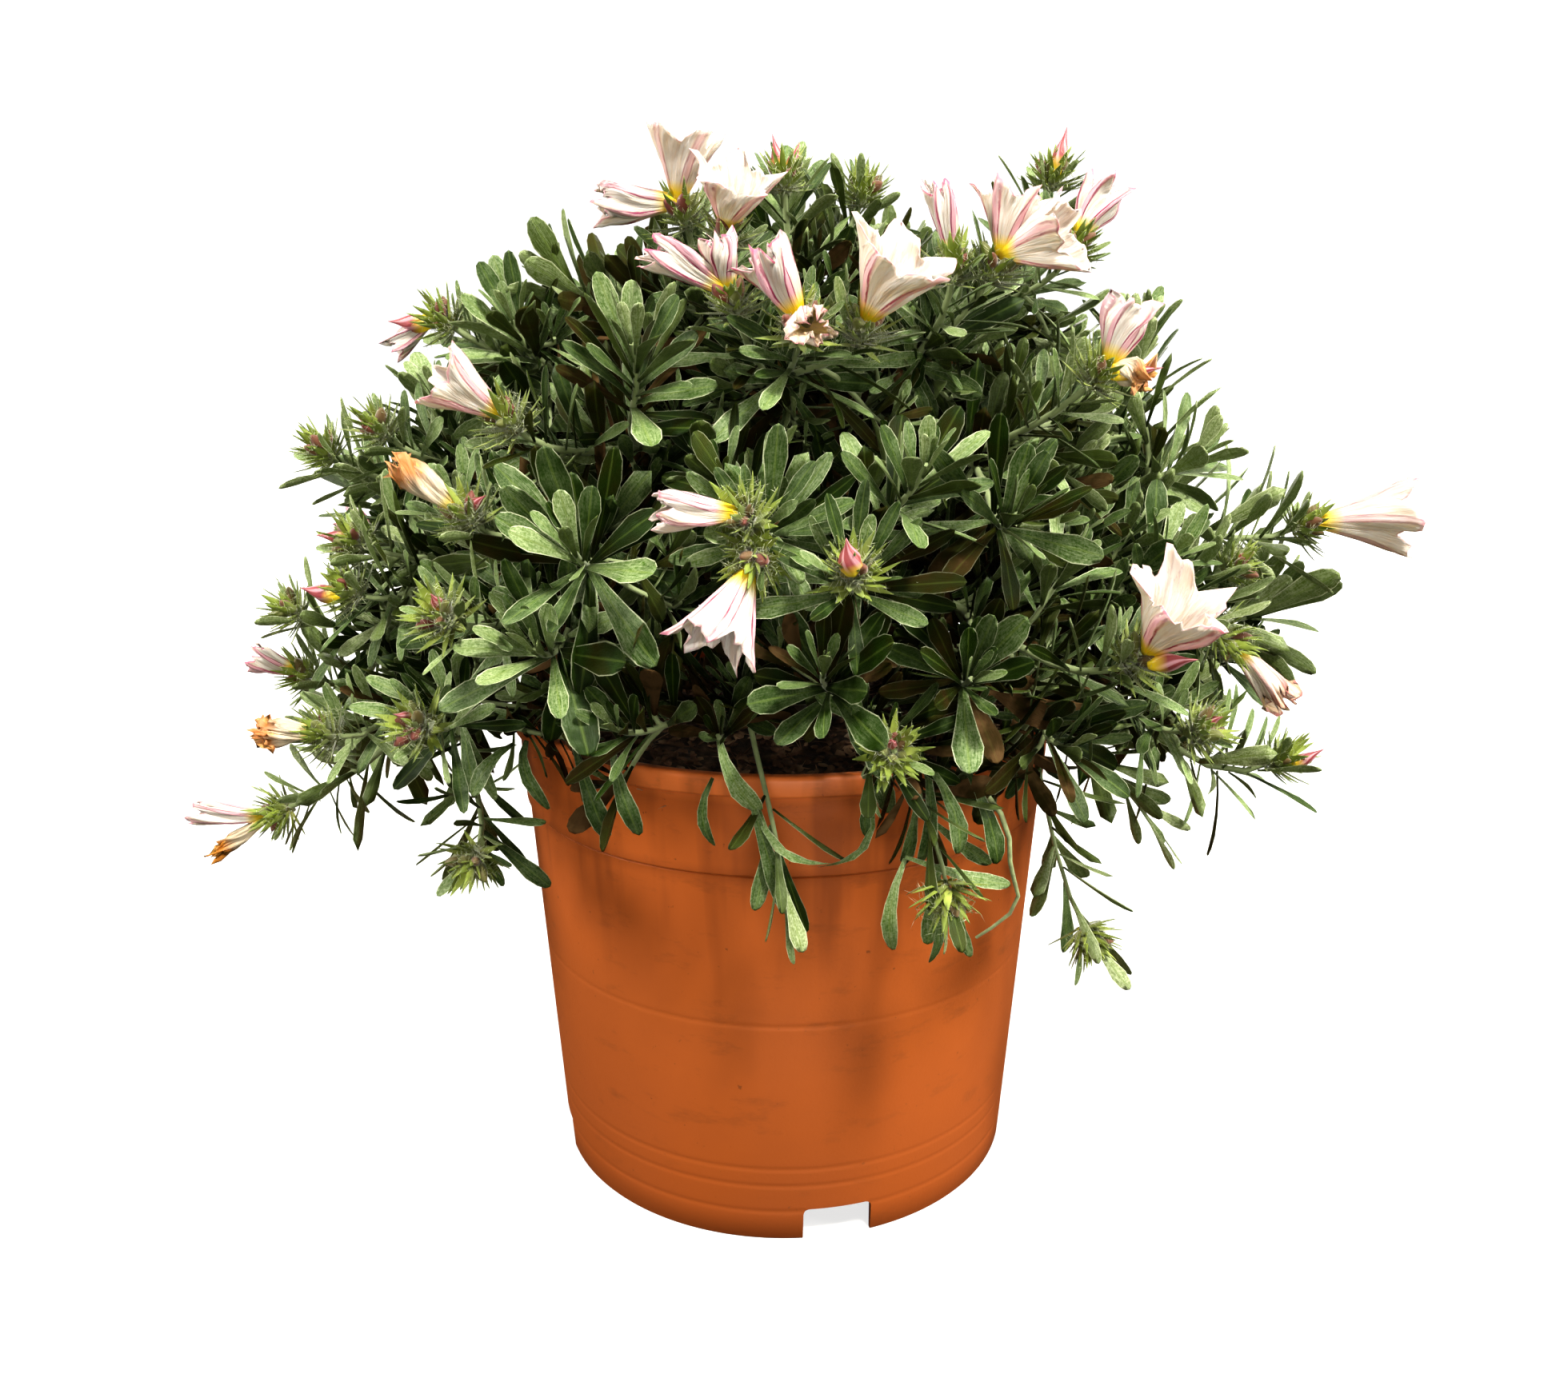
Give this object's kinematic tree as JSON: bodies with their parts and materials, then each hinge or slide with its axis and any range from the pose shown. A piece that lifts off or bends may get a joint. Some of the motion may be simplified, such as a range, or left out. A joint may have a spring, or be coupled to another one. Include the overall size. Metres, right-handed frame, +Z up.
{
  "type": "potted silverbush",
  "caption": "Flowering silverbush with silvery green leaves and white funnel blooms in a terracotta-coloured plastic nursery pot",
  "frame": {"origin": "on the pot's vertical axis, at the level of its foot", "axes": "+Z up along the pot's axis, +X along the bush's widest spread, -Y toward the side with most blooms"},
  "size_m": [0.3987, 0.3202, 0.3534],
  "materials": {
    "pot_plastic": "matte terracotta-orange moulded plastic with smudges",
    "potting_mix": "rough dark fibrous potting mix with bark crumbs",
    "old_growth": "rough brown-green stems and old leaves in shade",
    "silver_leaves": "silky silver-haired green leaves with pale margins",
    "petals": "thin soft white petals with pink folds and a yellow base"
  },
  "bodies": {
    "root": {"pot": "pot_plastic", "soil": "potting_mix", "crown": "old_growth", "sprig_crest_left": "silver_leaves", "sprig_crest_front": "silver_leaves", "sprig_crest_back": "silver_leaves", "sprig_crest_right": "silver_leaves", "sprig_top_right": "silver_leaves", "sprig_shoulder_right": "silver_leaves", "sprig_shoulder_left": "silver_leaves", "sprig_brow_left": "silver_leaves", "sprig_left_high": "silver_leaves", "sprig_left_front": "silver_leaves", "sprig_left_mid": "silver_leaves", "sprig_left_low": "silver_leaves", "sprig_left_belly": "silver_leaves", "sprig_left_skirt": "silver_leaves", "sprig_front_high": "silver_leaves", "sprig_front_mid": "silver_leaves", "sprig_front_low": "silver_leaves", "sprig_front_left_low": "silver_leaves", "sprig_right_front": "silver_leaves", "sprig_right_high": "silver_leaves", "sprig_right_mid": "silver_leaves", "sprig_right_low": "silver_leaves", "sprig_right_skirt": "silver_leaves", "sprig_back_top": "silver_leaves", "sprig_back_1": "silver_leaves", "sprig_back_2": "silver_leaves", "sprig_back_3": "silver_leaves", "sprig_back_4": "silver_leaves", "sprig_back_5": "silver_leaves", "sprig_back_6": "silver_leaves", "bloom_crest_left_1": "petals", "bloom_crest_left_2": "petals", "bloom_crest_front_1": "petals", "bloom_crest_front_2": "petals", "bloom_crest_front_3": "petals", "bloom_crest_right_1": "petals", "bloom_crest_right_2": "petals", "bloom_top_right_1": "petals", "bloom_top_right_2": "petals", "bloom_shoulder_right_1": "petals", "bloom_shoulder_left_1": "petals", "bloom_brow_left_1": "petals", "bloom_left_front_1": "petals", "bloom_left_mid_1": "petals", "bloom_left_low_1": "petals", "bloom_left_low_2": "petals", "bloom_left_skirt_1": "petals", "bloom_front_high_1": "petals", "bloom_front_high_2": "petals", "bloom_front_mid_1": "petals", "bloom_right_front_1": "petals", "bloom_right_high_1": "petals", "bloom_right_mid_1": "petals", "bloom_right_low_1": "petals", "bloom_back_2_1": "petals", "bloom_back_4_1": "petals", "bloom_back_6_1": "petals"}
  },
  "joints": []
}
